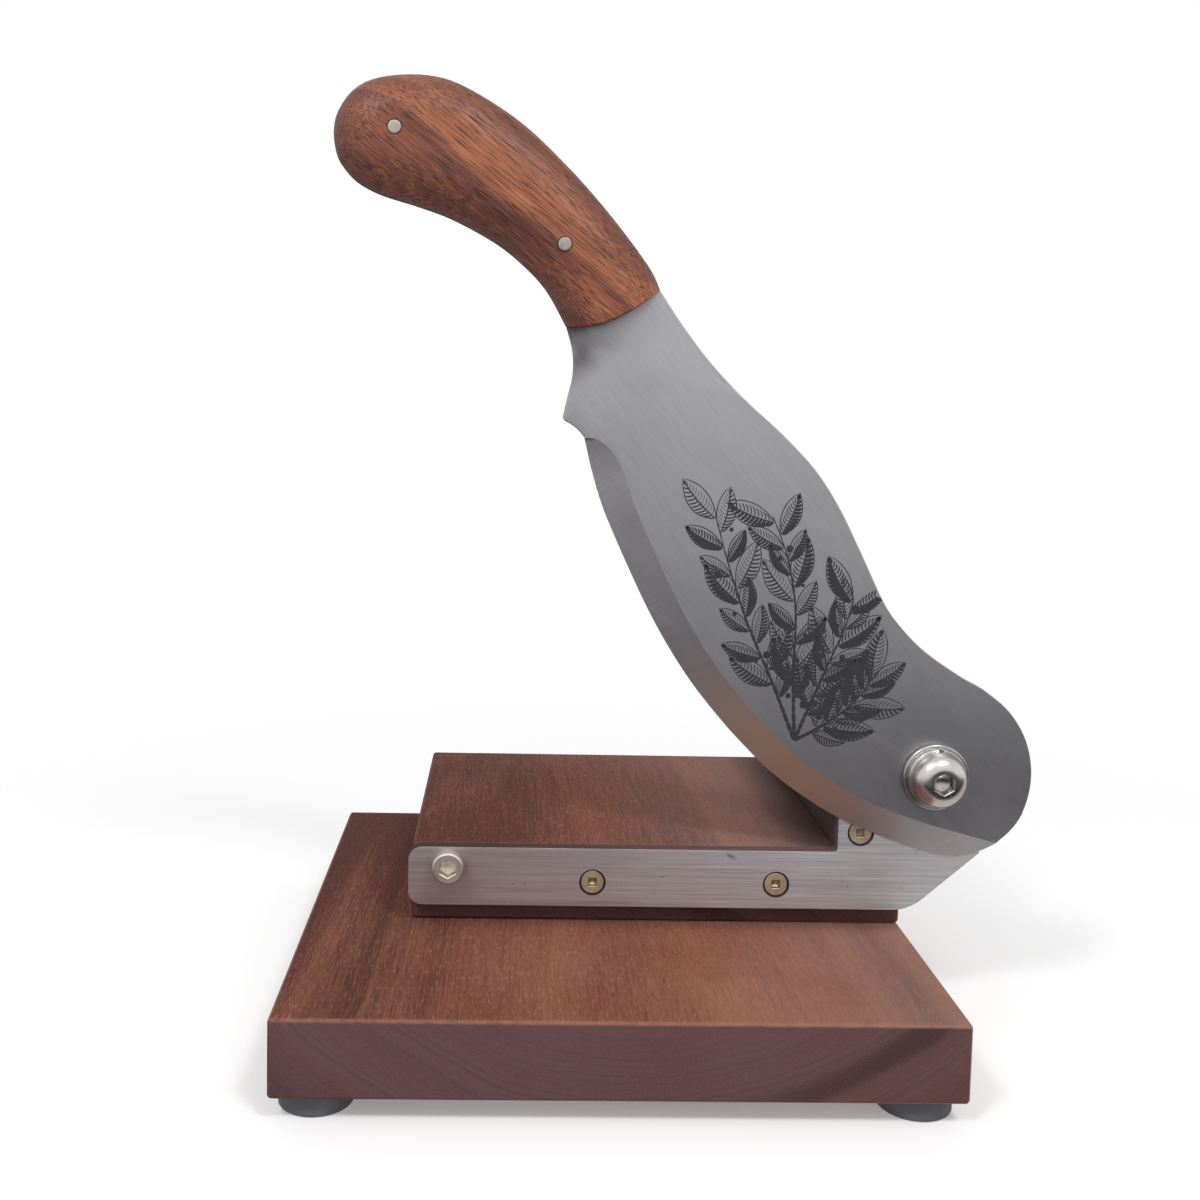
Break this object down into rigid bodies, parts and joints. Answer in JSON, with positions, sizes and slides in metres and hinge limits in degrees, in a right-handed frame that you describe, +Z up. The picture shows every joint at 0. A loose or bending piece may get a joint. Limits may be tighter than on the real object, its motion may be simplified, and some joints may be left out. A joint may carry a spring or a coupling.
{
  "type": "biltong cutter",
  "caption": "Lever-blade biltong cutter: a hinged curved blade with a wooden handle on a steel side plate, over a wooden cutting block and base on rubber feet.",
  "frame": {"origin": "centre of the bounding box at rest, on the surface that the feet stand on", "axes": "+Z up; the blade hangs at the front, which faces -Y; its pivot is towards +X and its handle towards -X"},
  "size_m": [0.2274, 0.178, 0.2907],
  "materials": {
    "stained_wood": "dark red-brown stain under a satin oil finish, grain along the depth",
    "handle_wood": "oiled reddish hardwood, grain along the handle",
    "plate_steel": "stainless, brushed along the bar",
    "blade_steel": "stainless, brushed along the blade, with a ground bevel",
    "bright_steel": "smooth stainless hardware",
    "yellow_zinc": "yellow zinc plate",
    "black_rubber": "matt black rubber",
    "white_nylon": "natural nylon"
  },
  "bodies": {
    "base": {"base_board": "stained_wood", "cutting_block": "stained_wood", "end_stop": "stained_wood", "side_plate": "plate_steel", "plate_screw_left": "yellow_zinc", "plate_screw_right": "yellow_zinc", "ear_screw": "yellow_zinc", "block_screw_front_left": "yellow_zinc", "block_screw_front_right": "yellow_zinc", "block_screw_back_left": "yellow_zinc", "block_screw_back_right": "yellow_zinc", "end_stop_screw_front": "yellow_zinc", "end_stop_screw_back": "yellow_zinc", "foot_front_left": "black_rubber", "foot_front_right": "black_rubber", "foot_back_left": "black_rubber", "foot_back_right": "black_rubber", "foot_washer_front_left": "bright_steel", "foot_washer_front_right": "bright_steel", "foot_washer_back_left": "bright_steel", "foot_washer_back_right": "bright_steel", "foot_screw_front_left": "yellow_zinc", "foot_screw_front_right": "yellow_zinc", "foot_screw_back_left": "yellow_zinc", "foot_screw_back_right": "yellow_zinc", "stop_screw": "bright_steel", "pivot_bolt": "bright_steel", "pivot_spring_washer": "bright_steel", "pivot_washer_front": "bright_steel", "pivot_washer_rear": "bright_steel", "pivot_lock_nut": "bright_steel", "lock_nut_insert": "white_nylon"},
    "lever": {"blade": "blade_steel", "handle_scale_front": "handle_wood", "handle_scale_rear": "handle_wood", "handle_pin_butt": "bright_steel", "handle_pin_neck": "bright_steel"}
  },
  "joints": [
    {"name": "blade_pivot", "type": "hinge", "parent": "base", "child": "lever", "pos_m": [0.0829, -0.0258, 0.0801], "axis": [0, 1, 0], "range_deg": [-52.5, 142]}
  ]
}
